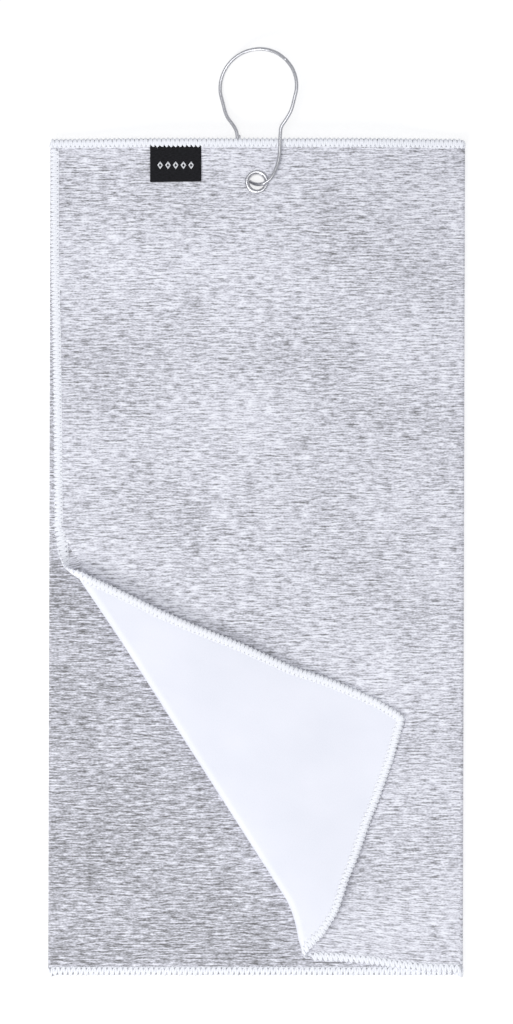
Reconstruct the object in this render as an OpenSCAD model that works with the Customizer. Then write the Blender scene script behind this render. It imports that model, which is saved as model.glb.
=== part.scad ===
// Golf towel: one two-faced sheet with an overlocked edge, folded in three lengthwise and laid flat,
// with the lower left corner of its front panel turned over. A metal eyelet near the top edge pins
// the three layers together, and a loop of spring wire passes through it.
// Millimetres. The origin is the middle of the folded towel, on the surface that it lies on.
// +Y runs to the edge that carries the loop, and +Z points up.

/* [Sheet] */
// Width of the sheet before it is folded in three
sheet_w = 600; // [570:6:630]
// Length of the sheet, and of the folded towel
sheet_l = 400; // [380:5:420]
// Thickness of the cloth
cloth_t = 0.8; // [0.6:0.1:0.9]
// Air between two layers that lie on each other
layer_gap = 0.2; // [0.1:0.05:0.3]
// Width of the overlocked hem along the cut edges
hem_w = 4; // [3:0.5:5]
// How far the front panel's free edge stops short of the fold under it
front_inset = 2; // [1:0.5:4]
// How far the inner panel's free edge stops short of the right fold
inner_inset = 4; // [2:0.5:8]
// How far the front panel's bottom edge is drawn up beside the turned corner
bottom_draw = 8; // [4:0.5:10]

/* [Raised top] */
// Height of the top edge over the surface, held up by the wire under it
edge_lift = 5.1; // [5.1:0.1:6]
// Distance from the top edge where the cloth begins to rise
rise_start = 100; // [80:5:120]
// Distance from the top edge where the cloth is level again
rise_end = 35; // [30:1:45]

/* [Turned corner] */
// Direction of the crease in plan, in degrees from +X
crease_angle = -57.4; // [-60:0.1:-55]
// Radius of the soft roll at the crease, at the middle of the cloth
crease_r = 3; // [2.5:0.1:3.2]
// Length along the crease to the foot of the corner's point
corner_along = 145; // [140:1:150]
// Distance of the corner's point from the crease axis
corner_out = 91.5; // [88:0.5:95]

/* [Label] */
// Width of the woven label
label_w = 24.5; // [20:0.5:30]
// Length of the label below the hem
label_l = 16.7; // [12:0.1:20]
// Distance of the label's middle from the towel's middle
label_offset = 38.8; // [34:0.1:44]

/* [Eyelet] */
// Distance of the eyelet's middle from the top edge
eyelet_inset = 20.5; // [18:0.5:24]
// Width of the hole through the eyelet
throat_d = 7; // [6.8:0.1:7.4]
// Width of the rolled flange
flange_d = 11.2; // [11:0.1:13]
// Wall of the barrel
barrel_wall = 0.5; // [0.3:0.05:0.6]
// Height of the rolled flange over the cloth
flange_h = 0.6; // [0.4:0.05:0.6]
// Thickness of the back washer
washer_t = 0.4; // [0.3:0.05:0.5]

/* [Wire loop] */
// Thickness of the wire
wire_d = 1.8; // [1.4:0.1:1.8]
// Radius of the round bow, at the middle of the wire
bow_r = 18.3; // [17:0.1:19]
// Height of the bow's middle over the eyelet
bow_up = 45.5; // [44:0.5:48]
// Tilt of the loop's plane, one leg over the cloth and one under it
loop_tilt = 16.7; // [16:0.1:17]

/* [Hidden] */

half_w = sheet_w / 6;
top_y = sheet_l / 2;
hem_t = cloth_t + layer_gap - 0.02;
wall_x = half_w - cloth_t;
front_x = -half_w + front_inset;
inner_x = wall_x - inner_inset;
front_bottom_y = -top_y + 1;
rise_from = top_y - rise_start;
rise_to = top_y - rise_end;
rise_steps = 10;
eyelet_y = top_y - eyelet_inset;
stack_t = 3 * cloth_t + 2 * layer_gap;
stack_mid = edge_lift + stack_t / 2;

// Heights of the layers: back panel 0, inner panel 1, front panel 2
function level(n) = n * (cloth_t + layer_gap);

// The crease's axis in plan passes through crease_from; along it the crease runs from crease_v0 to crease_v1
crease_from = [-84, -4.5];
crease_v0 = 4.5;
crease_v1 = 216.5;
crease_z = level(2) + cloth_t / 2 + crease_r;
function on_crease(v) = crease_from + v * [cos(crease_angle), sin(crease_angle)];

// Middle line of the turned corner across the crease, as [distance from the axis, height over the axis]
corner_rest = level(3) + 0.6 - crease_z;
corner_line = [[0, crease_r], [15, crease_r / 3], [40, corner_rest], [corner_out + 5, corner_rest]];

// Outline of the turned corner as [along the crease, away from it], and its two hems
corner_foot = [crease_v0, 0];
corner_tip = [corner_along, corner_out];
corner_end = [crease_v1, 0];
function unit(p) = p / norm(p);
function left_of(p) = [-p[1], p[0]];
side_in = -left_of(unit(corner_tip - corner_foot));
bottom_in = -left_of(unit(corner_end - corner_tip));
tip_in = corner_tip + hem_w * (side_in + bottom_in) / (1 + side_in * bottom_in);
foot_in = corner_foot + [hem_w / side_in[0], 0];
end_in = corner_end + [hem_w / bottom_in[0], 0];

// Wire route as [x, y, z] from the eyelet's middle; the gate is the springy half of the loop
wire_sides = 12;
crown_gap = 0.3;
crown = [0.7, bow_up + bow_r];
loop_drop = -0.25;
function in_plane(p) = [p[0], p[1], loop_drop + p[0] * tan(loop_tilt)];
function bow_point(a) = in_plane([crown[0] + bow_r * cos(a), bow_up + bow_r * sin(a)]);
crown_a = asin(crown_gap / 2 / bow_r);
gate_arm = [for (p = [[-9.1, 17.5], [-9.3, 21.7], [-9.9, 25], [-11.4, 27.8], [-14.5, 32.4]]) in_plane(p)];
gate_route = concat(gate_arm, [for (a = [200:-15.5:107]) bow_point(a)], [bow_point(90 + crown_a)]);
front_neck = [for (p = [[16.4, 33.9], [14, 29.6], [11.7, 26], [11.2, 21.7]]) in_plane(p)];
front_leg = [[10.8, 12.7, 3.1], [9.4, 6.6, 3.3], [6.9, 1.7, 3.6], [3.6, -0.8, 3.1]];
rear_leg = [[0.3, -1.1, 0.2], [-3, 0.3, -2.9], [-5.9, 2.9, -3.9], [-7.9, 7, -4.3],
            [-8.6, 12, -4.7], [-8.65, 18, -4.95], [-8.6, 23, -5]];
loop_route = concat([bow_point(90 - crown_a)], [for (a = [75:-15.8:-20]) bow_point(a)],
                    front_neck, front_leg, rear_leg);
loop_normal = [-sin(loop_tilt), 0, cos(loop_tilt)];

cloth_grey = [0.78, 0.79, 0.83];
cloth_white = [0.94, 0.95, 0.98];
thread_white = [0.97, 0.98, 1];
nickel = [0.75, 0.75, 0.77];

// How far the cloth is raised at a distance y along the towel
function rise(y) = let (s = min(max((y - rise_from) / (rise_to - rise_from), 0), 1))
    edge_lift * s * s * (3 - 2 * s);
function stations(y0, y1) = concat([y0],
    [for (i = [0:rise_steps])
        let (y = rise_from + (rise_to - rise_from) * i / rise_steps) if (y > y0 && y < y1) y],
    [y1]);

// A strip of cloth that follows the rise towards the top edge
module strip(x0, x1, y0, y1, z0, t) {
    ys = stations(y0, y1);
    last = len(ys) - 1;
    translate([x0, 0, 0])
        rotate([90, 0, 90])
            linear_extrude(x1 - x0)
                polygon(concat([for (y = ys) [y, z0 + rise(y)]],
                               [for (i = [last:-1:0]) [ys[i], z0 + t + rise(ys[i])]]));
}

module slab(points, z0, t)
    translate([0, 0, z0]) linear_extrude(t) polygon(points);

// Space that the eyelet's barrel takes in each layer
module eyelet_hole()
    translate([0, eyelet_y, 0]) cylinder(h = 4 * edge_lift, r = barrel_r + 0.1, $fn = 64);

module front_panel()
    color(cloth_grey) difference() {
        union() {
            strip(front_x + hem_w, wall_x, 0, top_y - hem_w, level(2), cloth_t);
            slab([[front_x + hem_w, 0], on_crease(0), on_crease(crease_v1),
                  [wall_x, front_bottom_y + hem_w], [wall_x, 0]], level(2), cloth_t);
        }
        eyelet_hole();
    }

module inner_panel()
    color(cloth_grey) difference() {
        strip(-wall_x, inner_x - hem_w, -top_y + hem_w, top_y - hem_w, level(1), cloth_t);
        eyelet_hole();
    }

module back_panel()
    color(cloth_grey) difference() {
        strip(-wall_x, wall_x, -top_y + hem_w, top_y - hem_w, level(0), cloth_t);
        eyelet_hole();
    }

// Fold between the front panel and the back panel
module right_fold()
    color(cloth_grey) strip(wall_x, half_w, front_bottom_y + hem_w, top_y - hem_w, 0, stack_t);

// Fold between the back panel and the inner panel
module left_fold()
    color(cloth_grey) strip(-half_w, -wall_x, -top_y + hem_w, top_y - hem_w, 0, level(1) + cloth_t);

module front_top_hem()
    color(thread_white) strip(front_x, half_w, top_y - hem_w, top_y, level(2), hem_t);

module inner_top_hem()
    color(thread_white) strip(-half_w, inner_x, top_y - hem_w, top_y, level(1), hem_t);

module back_top_hem()
    color(thread_white) strip(-half_w, half_w, top_y - hem_w, top_y, level(0), hem_t);

module front_side_hem()
    color(thread_white) {
        strip(front_x, front_x + hem_w, 0, top_y - hem_w, level(2), hem_t);
        slab([[front_x, 0], [front_x + hem_w, 0], on_crease(0), on_crease(0) - [2, 4], [front_x + 2, -5]],
             level(2), hem_t);
    }

module inner_side_hem()
    color(thread_white) strip(inner_x - hem_w, inner_x, -top_y + hem_w, top_y - hem_w, level(1), hem_t);

module front_bottom_hem() {
    near = on_crease(crease_v1);
    color(thread_white)
        slab([near, [wall_x, front_bottom_y + hem_w], [half_w, front_bottom_y + hem_w],
              [half_w, front_bottom_y], [near[0] + 1, -top_y + bottom_draw]], level(2), hem_t);
}

module inner_bottom_hem()
    color(thread_white) strip(-half_w, inner_x, -top_y, -top_y + hem_w, level(1), hem_t);

module back_bottom_hem()
    color(thread_white) strip(-half_w, half_w, -top_y, -top_y + hem_w, level(0), hem_t);

// Puts a shape that is drawn along X, with Y away from the crease, onto the crease's axis
module along_crease()
    translate([crease_from[0], crease_from[1], 0]) rotate([0, 0, crease_angle]) children();

// Half roll that joins the front panel to the turned corner
module corner_crease()
    color(cloth_white) along_crease()
        translate([crease_v0, 0, crease_z]) rotate([0, 90, 0]) difference() {
            cylinder(h = crease_v1 - crease_v0, r = crease_r + cloth_t / 2, $fn = 64);
            translate([0, 0, -1])
                cylinder(h = crease_v1 - crease_v0 + 2, r = crease_r - cloth_t / 2, $fn = 64);
            translate([-2 * crease_r, 0, -1])
                cube([4 * crease_r, 2 * crease_r, crease_v1 - crease_v0 + 2]);
        }

// The part of the turned corner inside an outline
module corner_piece(outline) {
    half_t = [0, cloth_t / 2];
    last = len(corner_line) - 1;
    color(cloth_white) along_crease() intersection() {
        translate([0, 0, crease_z]) rotate([90, 0, 90]) linear_extrude(crease_v1 + hem_w)
            polygon(concat([for (p = corner_line) p - half_t],
                           [for (i = [last:-1:0]) corner_line[i] + half_t]));
        linear_extrude(crease_z + 2 * crease_r) polygon(outline);
    }
}

module turned_corner() corner_piece([foot_in, tip_in, end_in]);
module corner_side_hem() corner_piece([corner_foot, corner_tip, tip_in, foot_in]);
module corner_bottom_hem() corner_piece([corner_tip, corner_end, end_in, tip_in]);

label_t = 0.4;
label_z = edge_lift + level(3) + 0.05;
module woven_label()
    color([0.12, 0.12, 0.13])
        translate([-label_offset - label_w / 2, top_y - hem_w - label_l, label_z])
            cube([label_w, label_l, label_t]);

// Half an ellipse around [r, z], as points on the side that dir points to
function rolled(r, z, a, b, dir) = [for (i = [0:12]) [r + a * cos(15 * i), z + dir * b * sin(15 * i)]];

throat_r = throat_d / 2;
barrel_r = throat_r + barrel_wall;
lip_half = 0.65;

// One drawn shell: rolled flange, barrel, and the lip that is rolled over the washer
module eyelet() {
    top = stack_t / 2;
    under = -stack_t / 2 - washer_t;
    flange_half = (flange_d / 2 - throat_r) / 2;
    lip = rolled(throat_r + lip_half, under, lip_half, washer_t, -1);
    color(nickel) translate([0, eyelet_y, stack_mid]) rotate_extrude($fn = 96)
        polygon(concat(rolled(throat_r + flange_half, top, flange_half, flange_h, 1),
                       [for (i = [12:-1:0]) lip[i]],
                       [[barrel_r, under], [barrel_r, top]]));
}

module eyelet_washer()
    color(nickel) translate([0, eyelet_y, stack_mid - stack_t / 2 - washer_t]) difference() {
        cylinder(h = washer_t, d = flange_d, $fn = 96);
        translate([0, 0, -1]) cylinder(h = washer_t + 2, r = barrel_r + 0.05, $fn = 96);
    }

// A smooth curve through the route's points
function blend_at(a, b, c, d, t) = 0.5 * (2 * b + (c - a) * t + (2 * a - 5 * b + 4 * c - d) * t * t
                                         + (3 * b - a - 3 * c + d) * t * t * t);
function smooth(p, steps) = let (n = len(p) - 1) concat(
    [for (i = [0:n - 1], j = [0:steps - 1])
        blend_at(p[max(i - 1, 0)], p[i], p[i + 1], p[min(i + 2, n)], j / steps)],
    [p[n]]);

// A round wire along a route
module wire(route) {
    line = smooth(route, 3);
    n = len(line) - 1;
    m = wire_sides;
    points = [for (i = [0:n])
        let (along = unit(line[min(i + 1, n)] - line[max(i - 1, 0)]),
             across = unit(cross(loop_normal, along)),
             up = cross(along, across))
        for (j = [0:m - 1])
            line[i] + wire_d / 2 * (cos(360 * j / m) * across + sin(360 * j / m) * up)];
    sides = [for (i = [0:n - 1], j = [0:m - 1])
        let (a = i * m + j, b = i * m + (j + 1) % m)
        for (face = [[a, a + m, b], [b, a + m, b + m]]) face];
    polyhedron(points, concat([[for (j = [0:m - 1]) j]], sides, [[for (j = [m - 1:-1:0]) n * m + j]]));
}

// The half of the wire from the crown down the front, through the eyelet and up behind the towel
module wire_loop()
    color(nickel) translate([0, eyelet_y, stack_mid]) wire(loop_route);

// The springy half of the bow, which ends under the top edge beside the rear leg
module wire_gate()
    color(nickel) translate([0, eyelet_y, stack_mid]) wire(gate_route);

front_panel();
inner_panel();
back_panel();
right_fold();
left_fold();
front_top_hem();
inner_top_hem();
back_top_hem();
front_side_hem();
inner_side_hem();
front_bottom_hem();
inner_bottom_hem();
back_bottom_hem();
corner_crease();
turned_corner();
corner_side_hem();
corner_bottom_hem();
woven_label();
eyelet();
eyelet_washer();
wire_loop();
wire_gate();
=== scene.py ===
import bpy
import math
import numpy as np
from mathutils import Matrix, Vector


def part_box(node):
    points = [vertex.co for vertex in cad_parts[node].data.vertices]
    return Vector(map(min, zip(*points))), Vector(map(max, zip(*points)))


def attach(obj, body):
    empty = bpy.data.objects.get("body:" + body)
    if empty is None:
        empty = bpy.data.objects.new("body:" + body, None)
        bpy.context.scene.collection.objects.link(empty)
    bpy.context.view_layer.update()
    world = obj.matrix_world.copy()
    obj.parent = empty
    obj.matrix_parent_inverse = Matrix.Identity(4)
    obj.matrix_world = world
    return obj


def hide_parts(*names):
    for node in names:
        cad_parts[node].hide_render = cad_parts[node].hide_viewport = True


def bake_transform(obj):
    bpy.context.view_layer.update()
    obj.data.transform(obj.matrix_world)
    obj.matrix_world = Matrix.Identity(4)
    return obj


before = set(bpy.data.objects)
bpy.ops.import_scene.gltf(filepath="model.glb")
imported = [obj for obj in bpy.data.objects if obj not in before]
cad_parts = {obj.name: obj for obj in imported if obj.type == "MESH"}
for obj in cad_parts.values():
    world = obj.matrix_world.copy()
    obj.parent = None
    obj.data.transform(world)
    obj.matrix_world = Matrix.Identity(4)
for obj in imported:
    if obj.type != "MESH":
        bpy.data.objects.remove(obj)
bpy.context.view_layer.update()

# ---------------------------------------------------------------- the cloth
# One sheet of knitted microfibre, 600 x 400 mm: heathered grey on its face, brushed white on its back.
# It is folded in three along its length, back panel on the table, inner panel and front panel over it,
# and only the eyelet holds the layers together. Sizes in this file are in millimetres until a mesh is made.
MM = 0.001
HALF_LENGTH = 200
BOTTOM = -200.7
# Where the folds begin at the top, and how far the folded towel leans to the left at its lower end
LEFT_FOLD_X = -97.4
RIGHT_FOLD_X = 98.3
LEAN = 1.1
INNER_EDGE_X = 95.2
# How far out each fold bulges, and how much of the sheet is taken up in going round it
FOLD_BULGE = 1.35
LEFT_FOLD_LENGTH = 4.5
RIGHT_FOLD_LENGTH = 5.5
INNER_WIDTH = INNER_EDGE_X - LEFT_FOLD_X
FRONT_WIDTH = RIGHT_FOLD_X + 98
LAYER = 1.0
CLOTH_HALF = 0.4
HEM_CLOTH_HALF = 0.3
EDGE_LIFT = 5.1
EYELET = np.array([0, 179.5, 6.5])

CREASE_START = np.array([-84, -4.5])
CREASE_ALONG = np.array([0.53877, -0.84245])
CREASE_OUT = np.array([0.84245, 0.53877])
CREASE_FIRST = -24.5
CREASE_LAST = 217.5
# How far the crease swings to the left near its lower end: distance along, shift
CREASE_SWING = np.array([[188, 0], [193, -0.8], [199.3, -2.4], [206.6, -5.3], [211, -6.7], [214.5, -7.6],
                         [217.5, -7.8]])
# Free edge of the front panel above the crease as y and x, and its lower edge as x and y
FREE_EDGE = np.array([[15.7, -96.9], [60, -97.2], [105, -97.8], [145, -98.7], [200, -98.8]])
LOWER_EDGE = np.array([[20, -193.1], [42, -194], [57, -195.6], [72, -197.8], [82, -199], [98, -199.4]])


def ease(t):
    t = np.clip(t, 0, 1)
    return t * t * (3 - 2 * t)


def look_up(table, at):
    return np.interp(at, table[:, 0], table[:, 1])


def crease_point(v):
    """Point under the axis of the crease's roll, at a distance along it."""
    v = np.asarray(v, float)
    swing = look_up(CREASE_SWING, v)
    return CREASE_START + v[..., None] * CREASE_ALONG + swing[..., None] * CREASE_OUT


crease_steps = crease_point(np.linspace(CREASE_LAST, CREASE_FIRST, 300))
LEFT_BOUNDARY = np.vstack([crease_steps[:, ::-1], FREE_EDGE])


def lift(x, y):
    """The wire that passes under the towel raises its top, which droops to the table at both corners."""
    droop = 1 - ease((np.abs(x) - 45) / 52)
    return (EDGE_LIFT * ease((y - 100) / 65) - 0.2 * ease((y - 186) / 10)) * droop


def waves(x, y):
    """Slack of a folded cloth, shared by all layers, with none at the crease, the folds or the eyelet."""
    swell = np.sin(x / 12.7 + 0.8 * np.sin(y / 29)) * np.sin(y / 21 + 1.3)
    swell = swell + 0.7 * np.sin(x / 27 - y / 16.3)
    from_crease = (x - CREASE_START[0]) * CREASE_OUT[0] + (y - CREASE_START[1]) * CREASE_OUT[1]
    clear_of_crease = np.where(y < 18, ease(np.abs(from_crease) / 20), 1)
    clear_of_sides = 1 - ease((np.abs(x) - 78) / 18)
    clear_of_ends = 1 - ease((np.abs(y + 10) - 150) / 30)
    return 0.16 * (1 + swell / 1.7) * clear_of_crease * clear_of_sides * clear_of_ends


# Where the layers begin to rise over the hems at the two ends, and how far on they are fully raised
HEM_RISE_Y = 188
HEM_RISE_RUN = 8


def height(level, x, y):
    """Middle of the cloth of one layer: 0 back panel, 1 inner panel, 2 front panel."""
    end_raise = 0.22 + 0.25 * level
    hem = end_raise * ease((y - HEM_RISE_Y) / HEM_RISE_RUN)
    if level < 2:
        hem = np.maximum(hem, end_raise * ease((-HEM_RISE_Y - y) / HEM_RISE_RUN))
    else:
        hem = np.maximum(hem, 0.78 * ease((-178 - y) / 12))
        hem = np.maximum(hem, 0.22 * ease((-88 - x) / 6) * ease((y - 17) / 12))
    if level > 0:
        hem = np.maximum(hem, (0.1 + 0.2 * level) * ease((x - 87) / 5))
    return CLOTH_HALF + LAYER * level + lift(x, y) + waves(x, y) + hem


def cloth(q, y0):
    """Middle of the folded sheet.

    q runs 0-1 over the inner panel, 1-2 left fold, 2-3 back panel, 3-4 right fold and 4-5 front panel.
    """
    q, y0 = np.broadcast_arrays(np.asarray(q, float), np.asarray(y0, float))
    part = np.clip(np.floor(q), 0, 4)
    f = q - part
    turn = f * np.pi
    y = y0 - 0.7 * ease((np.abs(y0) - 197) / 3) * np.where((part == 1) | (part == 3), 1, 0)
    lean = LEAN * (HALF_LENGTH - y0) / (2 * HALF_LENGTH)
    left_fold, right_fold = LEFT_FOLD_X - lean, RIGHT_FOLD_X - lean
    inner_x = INNER_EDGE_X - lean + f * (LEFT_FOLD_X - INNER_EDGE_X)
    back_x = left_fold + f * (RIGHT_FOLD_X - LEFT_FOLD_X)
    drawn = ease((-140 - y0) / 60)
    left_x = look_up(LEFT_BOUNDARY, y0 + (LOWER_EDGE[0, 1] - BOTTOM) * drawn)
    front_x = right_fold + f * (left_x - right_fold)
    front_y = y0 + (look_up(LOWER_EDGE, front_x) - BOTTOM) * drawn
    left_hi, left_lo = height(1, left_fold, y), height(0, left_fold, y)
    right_lo, right_hi = height(0, right_fold, y), height(2, right_fold, y)
    choices = [part == k for k in range(5)]
    x = np.select(choices, [inner_x, left_fold - FOLD_BULGE * np.sin(turn), back_x,
                            right_fold + FOLD_BULGE * np.sin(turn), front_x])
    z = np.select(choices, [height(1, inner_x, y),
                            (left_hi + left_lo) / 2 + (left_hi - left_lo) / 2 * np.cos(turn),
                            height(0, back_x, y),
                            (right_hi + right_lo) / 2 - (right_hi - right_lo) / 2 * np.cos(turn),
                            height(2, front_x, front_y)])
    return np.stack([x, np.where(part == 4, front_y, y), z], -1)


def flat_place(q):
    """Distance across the flat sheet of a place on the folded one, from the inner panel's free edge."""
    widths = np.array([INNER_WIDTH, LEFT_FOLD_LENGTH, RIGHT_FOLD_X - LEFT_FOLD_X, RIGHT_FOLD_LENGTH,
                       FRONT_WIDTH])
    return np.interp(q, range(6), np.concatenate([[0], np.cumsum(widths)]))


def across(a, b):
    n = np.cross(a, b)
    return n / np.maximum(np.linalg.norm(n, axis=-1, keepdims=True), 1e-9)


def finish_mesh(name, points, faces, materials, kinds=None, flat=None):
    """A smooth-shaded object from points in millimetres."""
    mesh = bpy.data.meshes.new(name)
    mesh.from_pydata((np.asarray(points) * MM).tolist(), [], faces)
    for material in materials:
        mesh.materials.append(material)
    if kinds is not None:
        mesh.polygons.foreach_set("material_index", np.asarray(kinds, np.int32))
    mesh.polygons.foreach_set("use_smooth", np.ones(len(mesh.polygons), bool))
    if flat is not None:
        layer = mesh.uv_layers.new(name="flat")
        corners = np.empty(len(mesh.loops), np.int32)
        mesh.loops.foreach_get("vertex_index", corners)
        layer.data.foreach_set("uv", (np.asarray(flat)[corners] * MM).astype(np.float32).ravel())
    mesh.validate()
    mesh.update()
    piece = bpy.data.objects.new(name, mesh)
    bpy.context.scene.collection.objects.link(piece)
    return piece


def cloth_shell(name, middle, half, flat, keep, materials):
    """Cloth with real thickness from a grid of points: face side, back side, and a rim on every open edge."""
    rows, cols = middle.shape[:2]
    normal = across(np.gradient(middle, axis=1), np.gradient(middle, axis=0))
    face_side = (middle + half[..., None] * normal).reshape(-1, 3)
    back_side = (middle - half[..., None] * normal).reshape(-1, 3)
    index = np.arange(rows * cols).reshape(rows, cols)
    quads = np.stack([index[:-1, :-1], index[:-1, 1:], index[1:, 1:], index[1:, :-1]], -1)[keep]
    edges = np.concatenate([quads[:, [k, (k + 1) % 4]] for k in range(4)])
    key = np.sort(edges, axis=1)
    _, first, count = np.unique(key, axis=0, return_index=True, return_counts=True)
    rim = edges[first[count == 1]]
    used = np.unique(quads)
    renumber = np.zeros(rows * cols, int)
    renumber[used] = np.arange(len(used))
    quads, rim, n = renumber[quads], renumber[rim], len(used)
    faces = np.concatenate([quads, quads[:, ::-1] + n,
                            np.stack([rim[:, 1], rim[:, 0], rim[:, 0] + n, rim[:, 1] + n], -1)])
    kinds = np.concatenate([np.zeros(len(quads)), np.ones(len(quads)), np.ones(len(rim))])
    spots = np.tile(flat.reshape(-1, 2)[used], (2, 1))
    return finish_mesh(name, np.concatenate([face_side[used], back_side[used]]), faces.tolist(),
                       materials, kinds, spots)


def linear(r, g, b):
    """Colour for a shader from the usual 0-255 values."""
    return tuple(((c / 255 + 0.055) / 1.055) ** 2.4 for c in (r, g, b)) + (1,)


def new_material(name, roughness, **sockets):
    material = bpy.data.materials.new(name)
    material.use_nodes = True
    shader = material.node_tree.nodes["Principled BSDF"]
    shader.inputs["Roughness"].default_value = roughness
    for socket, value in sockets.items():
        shader.inputs[socket.replace("_", " ")].default_value = value
    return material, material.node_tree, shader


def flat_noise(tree, length, width, detail, source="flat"):
    """Noise whose grains are this long across the sheet and this wide along it, in millimetres."""
    if source == "flat":
        place = tree.nodes.new("ShaderNodeUVMap")
        place.uv_map = "flat"
        place = place.outputs["UV"]
    else:
        place = tree.nodes.new("ShaderNodeTexCoord").outputs[source]
    scale = tree.nodes.new("ShaderNodeMapping")
    scale.inputs["Scale"].default_value = (1000 / length, 1000 / width, 1000 / width)
    noise = tree.nodes.new("ShaderNodeTexNoise")
    noise.inputs["Scale"].default_value = 1
    noise.inputs["Detail"].default_value = detail
    tree.links.new(place, scale.inputs["Vector"])
    tree.links.new(scale.outputs["Vector"], noise.inputs["Vector"])
    return noise.outputs["Fac"]


def combine(tree, how, a, b):
    node = tree.nodes.new("ShaderNodeMath")
    node.operation = how
    for socket, value in zip(node.inputs, (a, b)):
        if isinstance(value, (int, float)):
            socket.default_value = value
        else:
            tree.links.new(value, socket)
    return node.outputs["Value"]


def colour_steps(tree, factor, steps):
    ramp = tree.nodes.new("ShaderNodeValToRGB")
    while len(ramp.color_ramp.elements) < len(steps):
        ramp.color_ramp.elements.new(0.5)
    for element, (place, colour) in zip(ramp.color_ramp.elements, steps):
        element.position = place
        element.color = linear(*colour)
    tree.links.new(factor, ramp.inputs["Fac"])
    return ramp.outputs["Color"]


def add_bump(tree, shader, factor, strength, depth):
    bump = tree.nodes.new("ShaderNodeBump")
    bump.inputs["Strength"].default_value = strength
    bump.inputs["Distance"].default_value = depth * MM
    tree.links.new(factor, bump.inputs["Height"])
    tree.links.new(bump.outputs["Normal"], shader.inputs["Normal"])


# Heathered face: white and grey yarn knitted in courses, so the streaks run along the width
heather, tree, shader = new_material("heather_face", 0.92, Sheen_Weight=0.12, Sheen_Roughness=0.5,
                                     Specular_IOR_Level=0.2)
short_streaks = flat_noise(tree, 4.4, 0.72, 4)
long_streaks = flat_noise(tree, 13, 0.85, 2)
stains = flat_noise(tree, 60, 40, 1)
fine_streaks = flat_noise(tree, 1.2, 0.5, 2)
mixed = combine(tree, "ADD", combine(tree, "MULTIPLY", short_streaks, 0.47),
                combine(tree, "MULTIPLY", long_streaks, 0.28))
mixed = combine(tree, "ADD", mixed, combine(tree, "MULTIPLY", fine_streaks, 0.25))
cloudy = combine(tree, "MULTIPLY", combine(tree, "SUBTRACT", stains, 0.5), 0.08)
mixed = combine(tree, "ADD", mixed, cloudy)
# The inner panel, which shows beside the turned corner, is a step darker than the front one: this is painted
# shade, not a tone of the yarn. The panel ends at this distance across the flat sheet, in metres.
INNER_PANEL_ENDS = 0.195
INNER_PAINTED_SHADE = 0.042
place = tree.nodes.new("ShaderNodeUVMap")
place.uv_map = "flat"
parts = tree.nodes.new("ShaderNodeSeparateXYZ")
tree.links.new(place.outputs["UV"], parts.inputs["Vector"])
on_inner = combine(tree, "LESS_THAN", parts.outputs["X"], INNER_PANEL_ENDS)
# Painted shade: the heather on the inner panel is made darker by a fixed step.
mixed = combine(tree, "SUBTRACT", mixed, combine(tree, "MULTIPLY", on_inner, INNER_PAINTED_SHADE))
heather_steps = [(0.355, (118, 117, 118)), (0.425, (164, 164, 169)), (0.475, (199, 199, 207)),
                 (0.52, (225, 225, 233)), (0.575, (245, 246, 253)), (0.65, (251, 252, 255))]
tree.links.new(colour_steps(tree, mixed, heather_steps), shader.inputs["Base Color"])
loops = flat_noise(tree, 0.9, 0.55, 1)
add_bump(tree, shader, combine(tree, "ADD", loops, combine(tree, "MULTIPLY", mixed, 1.5)), 0.5, 0.12)

# Brushed back: short raised white fibres with a faint nap
reverse, tree, shader = new_material("brushed_reverse", 0.95, Sheen_Weight=0.25, Sheen_Roughness=0.6,
                                     Specular_IOR_Level=0.15)
nap = flat_noise(tree, 0.7, 0.5, 3)
brushed = flat_noise(tree, 24, 34, 2)
nap_and_brush = combine(tree, "ADD", combine(tree, "MULTIPLY", nap, 0.45),
                        combine(tree, "MULTIPLY", brushed, 0.55))
reverse_steps = [(0.3, (236, 238, 247)), (0.7, (246, 247, 255))]
tree.links.new(colour_steps(tree, nap_and_brush, reverse_steps), shader.inputs["Base Color"])
add_bump(tree, shader, nap, 0.35, 0.1)

ACROSS_PANEL = 80
ACROSS_FOLD = 8
ROWS = 162
q_steps = np.concatenate([k + np.linspace(0, 1, (ACROSS_PANEL, ACROSS_FOLD)[k % 2], endpoint=False)
                          for k in range(5)] + [[5 - 1e-9]])
y_steps = np.linspace(HALF_LENGTH, BOTTOM, ROWS)
q_grid, y_grid = np.meshgrid(q_steps, y_steps)
middle = cloth(q_grid, y_grid)

# The hole that the eyelet's barrel passes through, cut in every layer and hidden by the flange. Points nearer
# the axis than HOLE_CUT go, and the edge that is left is drawn out to HOLE_RADIUS.
HOLE_CUT = 3.2
HOLE_RADIUS = 4.75
from_eyelet = middle[..., :2] - EYELET[:2]
distance = np.linalg.norm(from_eyelet, axis=-1)
gone = distance < HOLE_CUT
keep = ~(gone[:-1, :-1] | gone[:-1, 1:] | gone[1:, 1:] | gone[1:, :-1])
beside_hole = np.zeros_like(gone)
for down in (0, 1):
    for over in (0, 1):
        beside_hole[down:down + ROWS - 1, over:over + len(q_steps) - 1] |= ~keep
beside_hole &= ~gone
drawn_out = (HOLE_RADIUS / distance[beside_hole])[:, None]
middle[beside_hole, :2] = EYELET[:2] + from_eyelet[beside_hole] * drawn_out

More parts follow.
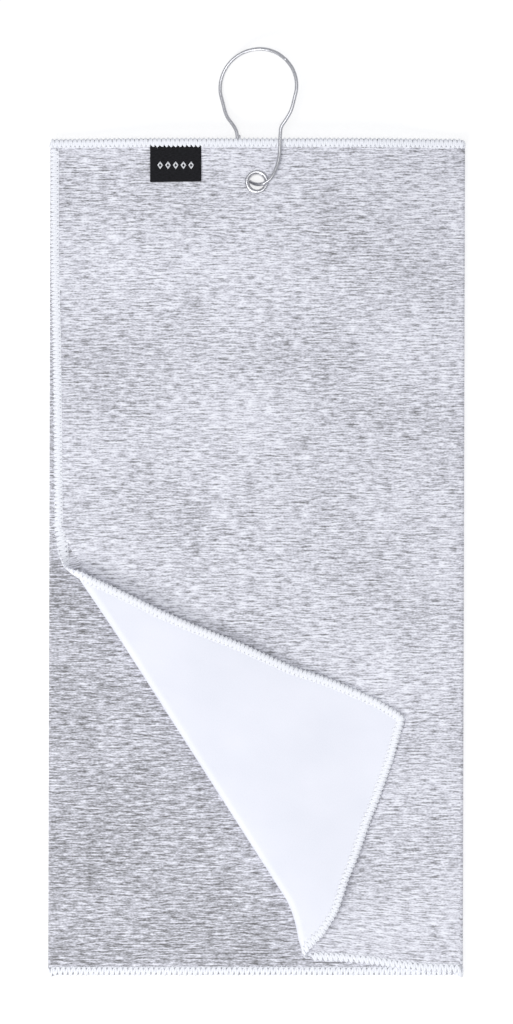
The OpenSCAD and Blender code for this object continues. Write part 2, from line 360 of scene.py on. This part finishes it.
# Cloth is pressed thinner under the stitches. The front panel's free edge begins above the turned corner.
INNER_HEM_SPAN = 193
FRONT_HEM_SPAN = 196
FRONT_HEM_FROM_Y = 16
NO_HEM = 99
edge_distance = np.minimum(HALF_LENGTH - y_grid, y_grid - BOTTOM)
front_side = np.where(y_grid > FRONT_HEM_FROM_Y, (5 - q_grid) * FRONT_HEM_SPAN, NO_HEM)
free_side = np.minimum(q_grid * INNER_HEM_SPAN, front_side)
near_hem = 1 - ease((np.minimum(edge_distance, free_side) - 3.6) / 2)
half = CLOTH_HALF - (CLOTH_HALF - HEM_CLOTH_HALF) * near_hem
across_sheet = np.where(q_grid < 4, flat_place(q_grid), flat_place(4) + RIGHT_FOLD_X - middle[..., 0])
flat = np.stack([across_sheet, HALF_LENGTH - y_grid], -1)
towel_cloth = cloth_shell("towel_cloth", middle, half, flat, keep, [heather, reverse])
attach(towel_cloth, "towel")
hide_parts("front_panel", "inner_panel", "back_panel", "right_fold", "left_fold")

# ---------------------------------------------------------------- the turned corner
# The same sheet, where the lower left corner of its front panel is folded over and shows its white back.
# The crease is a soft roll, not pressed flat, so the flap leaves it at full height and settles on the panel.
ROLL_HALF = 3.0
ROLL_Z = 5.4
ROLL_TURN = math.pi * ROLL_HALF
FLAP_REST = 3.7
# How far from the roll the flap reaches the panel: distance along the crease, distance over the flap
FLAP_SETTLE = np.array([[0, 48], [30, 92], [95, 95], [145, 72], [180, 66], [217.5, 60]])
# The corner's cloth begins this far inside the panel, sloping to just below its face
TUCK = 0.8
TUCK_SLOPE = 0.05
# Sideways half width of the roll: distance along the crease, half width
ROLL_WIDTH = np.array([[-24.5, 6.6], [-4, 6.8], [0.6, 5.4], [4.3, 3.9], [15, 3.6], [40, 3.0]])
# Outline of the corner: distance along the crease, distance round the roll and over the flap
SIDE_OUTLINE = np.array([[-24.5, 0.15], [-19.3, 1.15], [-14.1, 2.36], [-10.2, 3.35], [-6.9, 4.3], [-3.7, 5.5],
                         [-0.6, 7.07], [0.7, 7.75], [4.5, 9.3], [23.4, 21.2], [37.4, 29.6], [50.8, 38.5],
                         [72.5, 54.1], [95.5, 69], [109.1, 80.2], [121.7, 88.9], [130, 94.3], [139, 98.8],
                         [142.6, 100.4], [144.6, 100.6]])
END_OUTLINE = np.array([[144.6, 100.6], [146.4, 99], [150, 94.9], [159.1, 84.7], [171.5, 68.6], [177.1, 60.6],
                        [195.6, 37.1], [205.9, 28], [211, 18.6], [213.6, 7.85], [215.5, 4.7], [217.5, 0.15]])
OUTLINE = np.vstack([SIDE_OUTLINE, END_OUTLINE[1:]])
# Share of a narrow part's width that goes round the roll, and points round the roll and over the flap
ROUND_SHARE = 0.94
ROLL_POINTS = 16
FLAP_POINTS = 46
# Where the corner lies on the flat sheet: the start of its crease, and the turn of the crease there
CORNER_FLAT_X = 520
CORNER_FLAT_Y = 205
FLAT_COS = 0.842
FLAT_SIN = 0.539


def corner_cloth(v, w):
    """Middle of the turned corner: v along the crease, w from the roll's underside, round it and on."""
    v, w = np.broadcast_arrays(np.asarray(v, float), np.asarray(w, float))
    turn = np.clip(w / ROLL_HALF, 0, math.pi)
    over = np.maximum(w - ROLL_TURN, 0)
    under = np.minimum(w, 0)
    u = look_up(CREASE_SWING, v) - look_up(ROLL_WIDTH, v) * np.sin(turn) + over - under
    dents = 0.13 * (1 + np.sin(over / 9.5 + v / 23) * np.cos(v / 14.7)) * ease(over / 30)
    fall = 1 - ease(over / look_up(FLAP_SETTLE, v))
    settled = FLAP_REST + (ROLL_Z + ROLL_HALF - FLAP_REST) * fall + dents
    z = np.where(over > 0, settled, ROLL_Z - ROLL_HALF * np.cos(turn)) + TUCK_SLOPE * under
    place = CREASE_START + v[..., None] * CREASE_ALONG + u[..., None] * CREASE_OUT
    return np.concatenate([place, z[..., None]], -1)


CORNER_ROWS = 170
v_steps = np.linspace(CREASE_FIRST, CREASE_LAST, CORNER_ROWS)
round_roll = np.linspace(0, 1, ROLL_POINTS + 1)[:-1] * ROLL_TURN
widths = look_up(OUTLINE, v_steps)


def corner_row(width):
    """Places across the corner on one line square to the crease."""
    share = min(1, width / ROLL_TURN * ROUND_SHARE)
    return np.concatenate([[-TUCK], round_roll * share, np.linspace(ROLL_TURN * share, width, FLAP_POINTS)])


w_grid = np.array([corner_row(width) for width in widths])
v_grid = np.repeat(v_steps[:, None], w_grid.shape[1], 1)
corner_middle = corner_cloth(v_grid, w_grid)
corner_flat = np.stack([CORNER_FLAT_X + w_grid * FLAT_COS - v_grid * FLAT_SIN,
                        CORNER_FLAT_Y + v_grid * FLAT_COS + w_grid * FLAT_SIN], -1)
corner_half = HEM_CLOTH_HALF + (CLOTH_HALF - HEM_CLOTH_HALF) * ease((widths[:, None] - w_grid - 4) / 3)
everything = np.ones((CORNER_ROWS - 1, w_grid.shape[1] - 1), bool)
corner = cloth_shell("corner_cloth", corner_middle, corner_half, corner_flat, everything, [heather, reverse])


def turn_with_corner(piece):
    """Bakes the piece's placement into its mesh."""
    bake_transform(piece)


turn_with_corner(corner)
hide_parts("corner_crease", "turned_corner")

# ---------------------------------------------------------------- the overlocked hems
# Every cut edge is overlocked in white polyester thread: one looper thread zigzags over the face, a second
# one under the back, they lock along the edge, and a needle thread holds both at the seam's inner side.
STITCH_DEPTH = 3.5
THREAD_HALF_WIDTH = 0.5
THREAD_HALF_HEIGHT = 0.19
# One stitch of a looper thread: share of the pitch, distance from the edge, height over the cloth's middle
LOOPER_STITCH = np.array([[0, 3.5, 0.38], [0.13, 2.6, 0.45], [0.23, 1.4, 0.47], [0.3, 0.35, 0.4],
                          [0.36, -0.12, 0.12], [0.46, 0.3, 0.4], [0.62, 1.4, 0.47], [0.82, 2.7, 0.45]])
# Points of a needle thread in each stitch, and the half width and half height of that thread
NEEDLE_POINTS = 4
NEEDLE_HALF_WIDTH = 0.2
NEEDLE_HALF_HEIGHT = 0.15

thread, tree, shader = new_material("overlock_thread", 0.75, Sheen_Weight=0.1, Specular_IOR_Level=0.35)
fibres = flat_noise(tree, 0.5, 0.25, 2, source="Object")
thread_steps = [(0.3, (241, 243, 251)), (0.65, (251, 252, 255))]
tree.links.new(colour_steps(tree, fibres, thread_steps), shader.inputs["Base Color"])
add_bump(tree, shader, fibres, 0.25, 0.05)


def thread_run(points, normal, half_width, half_height, sides=6):
    """A flattened thread along points, its flat side on the cloth. Returns points and faces."""
    along = np.gradient(points, axis=0)
    side = across(along, normal)
    up = across(side, along)
    angle = np.arange(sides) * 2 * np.pi / sides
    half_width = np.broadcast_to(half_width, len(points))[:, None, None]
    ring = (points[:, None] + half_width * np.cos(angle)[None, :, None] * side[:, None]
            + half_height * np.sin(angle)[None, :, None] * up[:, None])
    index = np.arange(len(points) * sides).reshape(-1, sides)
    beside = np.roll(index, -1, 1)
    faces = np.stack([index[:-1], beside[:-1], beside[1:], index[1:]], -1).reshape(-1, 4).tolist()
    return ring.reshape(-1, 3), faces + [index[0, ::-1].tolist(), index[-1].tolist()]


def overlock(name, node, surface, length, pitch, fullness=1.0):
    """Overlock along one edge, where surface(t, d) is the cloth t along the edge and d in from it."""
    count = max(int(round(length / pitch)), 1)
    pitch = length / count
    stitch = np.tile(LOOPER_STITCH, (count, 1))
    number = np.repeat(np.arange(count), len(LOOPER_STITCH))
    wobble = np.random.default_rng(7).normal(0, 1, (count, 2))
    t = np.clip((number + stitch[:, 0]) * pitch + 0.06 * wobble[number, 0], 0, length)
    d = stitch[:, 1] * (1 + 0.03 * wobble[number, 1])

    def on_cloth(t, d):
        small = 0.05
        along = surface(t + small, d) - surface(t - small, d)
        inward = surface(t, d + small) - surface(t, d - small)
        return surface(t, d), across(inward, along)

    points, normal = on_cloth(t, d)
    spread = fullness * (THREAD_HALF_WIDTH + 0.22 * np.clip(d / STITCH_DEPTH, 0, 1))
    runs = [thread_run(points + s * stitch[:, 2, None] * normal, s * normal, spread, THREAD_HALF_HEIGHT)
            for s in (1, -1)]
    needle_t = np.linspace(0.1, length - 0.1, count * NEEDLE_POINTS)
    dip = 0.36 + 0.1 * np.cos(np.arange(count * NEEDLE_POINTS) * np.pi / 2)
    points, normal = on_cloth(needle_t, np.full(len(needle_t), STITCH_DEPTH + 0.12))
    runs += [thread_run(points + s * dip[:, None] * normal, s * normal, NEEDLE_HALF_WIDTH,
                        NEEDLE_HALF_HEIGHT) for s in (1, -1)]
    all_points, all_faces = [], []
    offset = 0
    for run_points, run_faces in runs:
        all_points.append(run_points)
        all_faces += [[i + offset for i in face] for face in run_faces]
        offset += len(run_points)
    piece = finish_mesh(name, np.concatenate(all_points), all_faces, [thread])
    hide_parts(node)
    return piece


def run_table(q_first, q_last, y_edge):
    """Real distance along an end of the sheet against the place on it, so that stitches keep their pitch."""
    q = np.linspace(q_first, q_last, 400)
    steps = np.linalg.norm(np.diff(cloth(q, y_edge), axis=0), axis=1)
    return np.concatenate([[0], np.cumsum(steps)]), q


def end_hem(name, node, q_first, q_last, y_edge, inward, pitch):
    run, places = run_table(q_first, q_last, y_edge)

    def surface(t, d):
        return cloth(np.interp(t, run, places), y_edge + inward * d)

    return overlock(name, node, surface, run[-1], pitch, fullness=END_FULLNESS)


TOP_PITCH = 2.15
LOWER_PITCH = 2.5
SIDE_PITCH = 1.9
FRONT_LAST = 5 - 1e-6
# Fullness of the thread on the ends of the towel, its front side and the turned corner
END_FULLNESS = 1.25
SIDE_FULLNESS = 1.15
CORNER_FULLNESS = 1.35
# The side hems stop this far from the ends
SIDE_STOP = 4
sewn_edges = [
    end_hem("front_top_stitches", "front_top_hem", FRONT_LAST, 3.5, HALF_LENGTH, -1, TOP_PITCH),
    end_hem("inner_top_stitches", "inner_top_hem", 0.0, 1.5, HALF_LENGTH, -1, TOP_PITCH),
    end_hem("back_top_stitches", "back_top_hem", 1.5, 3.5, HALF_LENGTH, -1, TOP_PITCH),
    end_hem("front_bottom_stitches", "front_bottom_hem", 3.5, FRONT_LAST, BOTTOM, 1, LOWER_PITCH),
    end_hem("inner_bottom_stitches", "inner_bottom_hem", 1.5, 0.0, BOTTOM, 1, LOWER_PITCH),
    end_hem("back_bottom_stitches", "back_bottom_hem", 3.5, 1.5, BOTTOM, 1, LOWER_PITCH)]

inner_side_length = HALF_LENGTH - BOTTOM - 2 * SIDE_STOP
sewn_edges.append(overlock("inner_side_stitches", "inner_side_hem",
                           lambda t, d: cloth(d / INNER_WIDTH, BOTTOM + SIDE_STOP + t),
                           inner_side_length, SIDE_PITCH))
front_side_length = HALF_LENGTH - SIDE_STOP - FREE_EDGE[0, 0]
sewn_edges.append(overlock("front_side_stitches", "front_side_hem",
                           lambda t, d: cloth(5 - 1e-9 - d / FRONT_WIDTH, FREE_EDGE[0, 0] + t),
                           front_side_length, SIDE_PITCH, fullness=SIDE_FULLNESS))
for piece in sewn_edges:
    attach(piece, "towel")


def outline_surface(outline):
    """Surface of a hem that follows part of the turned corner's outline, and its length."""
    v, w = outline.T
    run = np.concatenate([[0], np.cumsum(np.hypot(np.diff(v), np.diff(w)))])

    def surface(t, d):
        along_v = np.interp(t + 1.5, run, v) - np.interp(t - 1.5, run, v)
        along_w = np.interp(t + 1.5, run, w) - np.interp(t - 1.5, run, w)
        size = np.maximum(np.hypot(along_v, along_w), 1e-6)
        at_v, at_w = np.interp(t, run, v), np.interp(t, run, w)
        on_roll = 1 - ease((at_w - 0.8 * ROLL_TURN) / 3)
        widening = 1 + 0.35 * (look_up(ROLL_WIDTH, at_v) / ROLL_HALF - 1) * on_roll
        return corner_cloth(at_v + d * along_w / size, at_w - d * along_v / size / widening)

    return surface, run[-1]


for name, node, outline in [("corner_side_stitches", "corner_side_hem", SIDE_OUTLINE),
                            ("corner_end_stitches", "corner_bottom_hem", END_OUTLINE)]:
    surface, length = outline_surface(outline)
    piece = overlock(name, node, surface, length, TOP_PITCH, fullness=CORNER_FULLNESS)
    turn_with_corner(piece)

# ---------------------------------------------------------------- the woven label
# A black damask label, 24.5 mm wide, caught in the top hem so that it hangs free below its stitches.
# Its figure is a plain row of five woven diamonds.
label_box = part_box("woven_label")
LABEL_LEFT = label_box[0].x / MM
LABEL_RIGHT = label_box[1].x / MM
LABEL_LOW = label_box[0].y / MM
LABEL_HINGE = label_box[1].y / MM
LABEL_Z = (label_box[0].z + label_box[1].z) / 2 / MM
LABEL_SEWN = 3.2
LABEL_WIDTH = 24.5
LABEL_SLANT = 0.35
LABEL_HALF = 0.19
# Sideways shift of the label's place in the flat cloth map, so that it starts clear of zero
LABEL_FLAT_X = 60

label_black, tree, shader = new_material("label_weave", 0.75, Specular_IOR_Level=0.12)
weft = flat_noise(tree, 1.6, 0.3, 2)
warp = flat_noise(tree, 0.3, 1.2, 1)
weave = combine(tree, "ADD", combine(tree, "MULTIPLY", weft, 0.7), combine(tree, "MULTIPLY", warp, 0.3))
label_steps = [(0.3, (12, 12, 13)), (0.7, (40, 40, 44))]
tree.links.new(colour_steps(tree, weave, label_steps), shader.inputs["Base Color"])
add_bump(tree, shader, weave, 0.7, 0.1)
label_white, tree, shader = new_material("label_figure", 0.7, Sheen_Weight=0.2)
figure_yarn = flat_noise(tree, 1.0, 0.25, 1)
figure_steps = [(0.3, (205, 206, 210)), (0.65, (246, 247, 250))]
tree.links.new(colour_steps(tree, figure_yarn, figure_steps), shader.inputs["Base Color"])
add_bump(tree, shader, figure_yarn, 0.6, 0.08)


def label_surface(x, y):
    """Middle of the label: flat under the hem, with a lower edge that curls up a little."""
    along = (x - LABEL_LEFT) / (LABEL_RIGHT - LABEL_LEFT)
    hang = np.clip((LABEL_HINGE - y) / (LABEL_HINGE - LABEL_LOW), 0, 1)
    curl = 0.25 * hang ** 3 + 0.12 * hang * np.sin(along * np.pi * 2.2)
    under_hem = ease((y - LABEL_HINGE + 0.9) / 1.5)
    sewn = height(2, x, np.maximum(y, LABEL_HINGE)) + 0.33
    return (LABEL_Z + curl) * (1 - under_hem) + sewn * under_hem


label_x = np.linspace(LABEL_LEFT, LABEL_RIGHT, 40)
label_y = np.linspace(LABEL_HINGE + LABEL_SEWN, LABEL_LOW, 36)
x_grid, y_label = np.meshgrid(label_x, label_y)
slant = LABEL_SLANT * (x_grid - LABEL_LEFT) / LABEL_WIDTH * ease((LABEL_HINGE - y_label) / 8)
label_middle = np.stack([x_grid[:, ::-1], (y_label + slant)[:, ::-1],
                         label_surface(x_grid, y_label)[:, ::-1]], -1)
label_flat = np.stack([x_grid[:, ::-1] + LABEL_FLAT_X, HALF_LENGTH - y_label], -1)
label_half = LABEL_HALF - 0.09 * ease(y_label - LABEL_HINGE)
whole_label = np.ones((len(label_y) - 1, len(label_x) - 1), bool)
label = cloth_shell("woven_label_cloth", label_middle, label_half, label_flat, whole_label,
                    [label_black, label_black])

DIAMOND_COUNT = 5
DIAMOND_WIDTH = 2.7
DIAMOND_HEIGHT = 3.7
DIAMOND_STEP = 3.7
# Size of a diamond's opening against its outside, and how far the row lies below the label's hinge
DIAMOND_OPENING = 0.45
FIGURE_DROP = 8.6
# Underside and top of the figure's yarn over the label's middle
FIGURE_UNDER = 0.15
FIGURE_TOP = 0.24
figure_points = []
figure_faces = []


def add_figure(outline):
    """One raised woven figure on the label's face."""
    start = len(figure_points)
    n = len(outline)
    for rise in (FIGURE_UNDER, FIGURE_TOP):
        for x, y in outline:
            figure_points.append([x, y, float(label_surface(x, y)) + rise])
    figure_faces.append([start + n + k for k in range(n)])
    for k in range(n):
        after = (k + 1) % n
        figure_faces.append([start + k, start + after, start + n + after, start + n + k])


label_middle_x = (LABEL_LEFT + LABEL_RIGHT) / 2
figure_y = LABEL_HINGE - FIGURE_DROP
for k in range(DIAMOND_COUNT):
    x = label_middle_x + (k - (DIAMOND_COUNT - 1) / 2) * DIAMOND_STEP
    wide, high = DIAMOND_WIDTH / 2, DIAMOND_HEIGHT / 2
    outer = [(x - wide, figure_y), (x, figure_y - high), (x + wide, figure_y), (x, figure_y + high)]
    inner = [(x + (px - x) * DIAMOND_OPENING, figure_y + (py - figure_y) * DIAMOND_OPENING)
             for px, py in outer]
    for side in range(4):
        after = (side + 1) % 4
        add_figure([outer[side], outer[after], inner[after], inner[side]])
figure = finish_mesh("woven_label_figure", figure_points, figure_faces, [label_white], None,
                     np.array(figure_points)[:, :2] + [LABEL_FLAT_X, 0])
for piece in (label, figure):
    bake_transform(piece)
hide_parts("woven_label")

# ---------------------------------------------------------------- the eyelet and its washer
# A nickel-plated brass eyelet pressed through all three layers: a rolled flange in front, a barrel,
# and a lip rolled over a flat washer behind.
EYELET_PROFILE = [(5.45, 1.4), (5.58, 1.5), (5.58, 1.62), (5.42, 1.82), (5.15, 1.95), (4.8, 2.0),
                  (4.45, 1.94), (4.15, 1.74), (3.9, 1.4), (3.68, 0.9), (3.55, 0.3), (3.5, -0.4),
                  (3.5, -1.6), (3.54, -1.88), (3.72, -2.1), (4.1, -2.19), (4.5, -2.12), (4.75, -1.92),
                  (4.78, -1.82), (4.0, -1.8), (4.0, 1.4)]
WASHER_PROFILE = [(4.05, -1.8), (4.05, -1.45), (4.15, -1.4), (5.5, -1.4), (5.6, -1.5), (5.6, -1.7),
                  (5.5, -1.8)]
PROFILE_STEP = 0.35

nickel, tree, shader = new_material("nickel_plate", 0.3, Metallic=1.0)
handling = flat_noise(tree, 1.2, 1.2, 2, source="Object")
nickel_steps = [(0.3, (196, 196, 199)), (0.7, (214, 214, 218))]
tree.links.new(colour_steps(tree, handling, nickel_steps), shader.inputs["Base Color"])
add_bump(tree, shader, handling, 0.08, 0.05)


def turned(name, profile, rounds=96):
    """A ring turned from a closed profile of radius and height, around the eyelet's axis."""
    ring = np.array(profile)
    fine = []
    for k in range(len(ring)):
        after = ring[(k + 1) % len(ring)]
        steps = max(int(np.hypot(*(after - ring[k])) / PROFILE_STEP), 1)
        fine += [ring[k] + (after - ring[k]) * s / steps for s in range(steps)]
    fine = np.array(fine)
    n = len(fine)
    angle = np.arange(rounds) * 2 * np.pi / rounds
    radius = fine[None, :, 0]
    points = np.stack([radius * np.cos(angle)[:, None], radius * np.sin(angle)[:, None],
                       np.repeat(fine[None, :, 1], rounds, 0)], -1).reshape(-1, 3) + EYELET
    index = np.arange(rounds * n).reshape(rounds, n)
    before = np.roll(index, 1, 1)
    faces = np.stack([index, before, np.roll(before, -1, 0), np.roll(index, -1, 0)], -1)
    return finish_mesh(name, points, faces.reshape(-1, 4).tolist(), [nickel])


eyelet = turned("eyelet_shell", EYELET_PROFILE)
washer = turned("eyelet_back_washer", WASHER_PROFILE)
for piece, node in ((eyelet, "eyelet"), (washer, "eyelet_washer")):
    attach(piece, "towel")
    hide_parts(node)

# ---------------------------------------------------------------- the wire
# One length of 1.8 mm spring wire, nickel plated: a round bow over the top edge, an arm that ends under that
# edge and springs open, and a leg that comes down the front, through the eyelet and up behind the towel.
WIRE_HALF = 0.9
WIRE_TILT = math.tan(math.radians(16.7))
WIRE_DROP = -0.25
BOW_RADIUS = 18.3
BOW_CENTRE = (0.7, 45.5)
# How much thinner the wire's blunted ends are, and how long the blunt part is
END_BLUNT = 0.25
END_LENGTH = 0.2


def in_plane(x, y):
    return [x, y, WIRE_DROP + x * WIRE_TILT]


def bow_point(degrees):
    angle = math.radians(degrees)
    return in_plane(BOW_CENTRE[0] + BOW_RADIUS * math.cos(angle),
                    BOW_CENTRE[1] + BOW_RADIUS * math.sin(angle))


def smooth_route(points, steps):
    p = np.array(points, float)
    p = np.vstack([p[0], p, p[-1]])
    t = np.linspace(0, 1, steps, endpoint=False)[:, None]
    runs = []
    for a, b, c, d in zip(p[:-3], p[1:-2], p[2:-1], p[3:]):
        runs.append(0.5 * (2 * b + (c - a) * t + (2 * a - 5 * b + 4 * c - d) * t ** 2
                           + (3 * b - a - 3 * c + d) * t ** 3))
    return np.vstack(runs + [p[-1:]])


def wire_piece(name, points, material, sides=20):
    """A round wire with softened ends along a smooth route measured from the eyelet's middle."""
    line = smooth_route(points, 8) + EYELET
    along = np.gradient(line, axis=0)
    along /= np.linalg.norm(along, axis=1, keepdims=True)
    plane = np.array([-math.sin(math.atan(WIRE_TILT)), 0, math.cos(math.atan(WIRE_TILT))])
    side = across(np.broadcast_to(plane, along.shape), along)
    up = np.cross(along, side)
    line = np.vstack([line[:1] - along[:1] * END_LENGTH, line, line[-1:] + along[-1:] * END_LENGTH])
    side = np.vstack([side[:1], side, side[-1:]])
    up = np.vstack([up[:1], up, up[-1:]])
    radius = np.full(len(line), WIRE_HALF)
    radius[0] = radius[-1] = WIRE_HALF - END_BLUNT
    angle = np.arange(sides) * 2 * np.pi / sides
    ring = (line[:, None] + radius[:, None, None] * (np.cos(angle)[None, :, None] * side[:, None]
                                                     + np.sin(angle)[None, :, None] * up[:, None]))
    index = np.arange(len(line) * sides).reshape(-1, sides)
    beside = np.roll(index, -1, 1)
    faces = np.stack([index[:-1], beside[:-1], beside[1:], index[1:]], -1).reshape(-1, 4).tolist()
    faces += [index[0, ::-1].tolist(), index[-1].tolist()]
    return finish_mesh(name, ring.reshape(-1, 3), faces, [material])


wire_nickel, tree, shader = new_material("spring_wire", 0.34, Metallic=1.0)
drawn = flat_noise(tree, 2.0, 0.6, 2, source="Object")
wire_steps = [(0.3, (194, 194, 197)), (0.7, (212, 212, 216))]
tree.links.new(colour_steps(tree, drawn, wire_steps), shader.inputs["Base Color"])
add_bump(tree, shader, drawn, 0.06, 0.04)

gate_arm = [in_plane(x, y) for x, y in [(-9.1, 17.5), (-9.3, 21.7), (-9.9, 25), (-11.4, 27.8), (-14.5, 32.4)]]
gate_bow = [bow_point(200 - 15.5 * k) for k in range(7)]
loop_bow = [bow_point(75 - 15.8 * k) for k in range(7)]
front_neck = [in_plane(x, y) for x, y in [(16.4, 33.9), (14, 29.6), (11.7, 26), (11.2, 21.7)]]
front_leg = [[10.8, 12.7, 3.1], [9.4, 6.6, 3.3], [6.9, 1.7, 3.6], [3.6, -0.8, 3.1]]
rear_leg = [[0.3, -1.1, 0.2], [-3, 0.3, -2.9], [-5.9, 2.9, -3.9], [-7.9, 7, -4.3], [-8.6, 12, -4.7],
            [-8.65, 18, -4.95], [-8.6, 23, -5]]
bow = wire_piece("wire_bow", gate_arm + gate_bow + [bow_point(90)] + loop_bow[:3], wire_nickel)
leg = wire_piece("wire_leg", loop_bow[2:] + front_neck + front_leg + rear_leg, wire_nickel)
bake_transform(bow)
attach(leg, "loop")
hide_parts("wire_gate")
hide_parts("wire_loop")

# ---------------------------------------------------------------- the table, the light and the camera
# A white table that gives off light itself, a broad soft light high up, a second one low at the lower left,
# and a camera that looks straight down.
scene = bpy.context.scene
scene.view_settings.view_transform = "Standard"
FLOOR_SIZE = 4.0
floor_mesh = bpy.data.meshes.new("table_top")
corner_at = FLOOR_SIZE / 2
floor_mesh.from_pydata([(-corner_at, -corner_at, 0), (corner_at, -corner_at, 0), (corner_at, corner_at, 0),
                        (-corner_at, corner_at, 0)], [], [(0, 1, 2, 3)])
floor = bpy.data.objects.new("table_top", floor_mesh)
scene.collection.objects.link(floor)
floor_white, tree, shader = new_material("table_white", 0.9, Specular_IOR_Level=0.1)
shader.inputs["Base Color"].default_value = (0.4, 0.4, 0.4, 1)
shader.inputs["Emission Color"].default_value = (1, 1, 1, 1)
shader.inputs["Emission Strength"].default_value = 0.66
floor_mesh.materials.append(floor_white)

world = bpy.data.worlds.new("studio")
scene.world = world
world.use_nodes = True
world.node_tree.nodes["Background"].inputs["Color"].default_value = (0.93, 0.95, 1.0, 1)
world.node_tree.nodes["Background"].inputs["Strength"].default_value = 0.5


def soft_light(name, place, size, power):
    """A square lamp that points at the middle of the towel."""
    lamp = bpy.data.lights.new(name, "AREA")
    lamp.shape = "SQUARE"
    lamp.size = size
    lamp.energy = power
    piece = bpy.data.objects.new(name, lamp)
    piece.location = place
    piece.rotation_euler = (-Vector(place)).to_track_quat("-Z", "Y").to_euler()
    scene.collection.objects.link(piece)


soft_light("overhead_light", (-0.3, -0.2, 2.2), 1.2, 17)
soft_light("low_left_light", (-0.9, -1.2, 1.1), 0.6, 12.5)

VIEW_HEIGHT = 0.4915
CAMERA_DISTANCE = 1.6
CAMERA_X = -0.00014
CAMERA_Y = 0.0215
SENSOR_WIDTH = 36
camera_data = bpy.data.cameras.new("camera")
camera_data.sensor_width = SENSOR_WIDTH
camera_data.lens = SENSOR_WIDTH * CAMERA_DISTANCE / VIEW_HEIGHT
camera = bpy.data.objects.new("camera", camera_data)
camera.location = (CAMERA_X, CAMERA_Y, CAMERA_DISTANCE + 0.003)
scene.collection.objects.link(camera)
scene.camera = camera
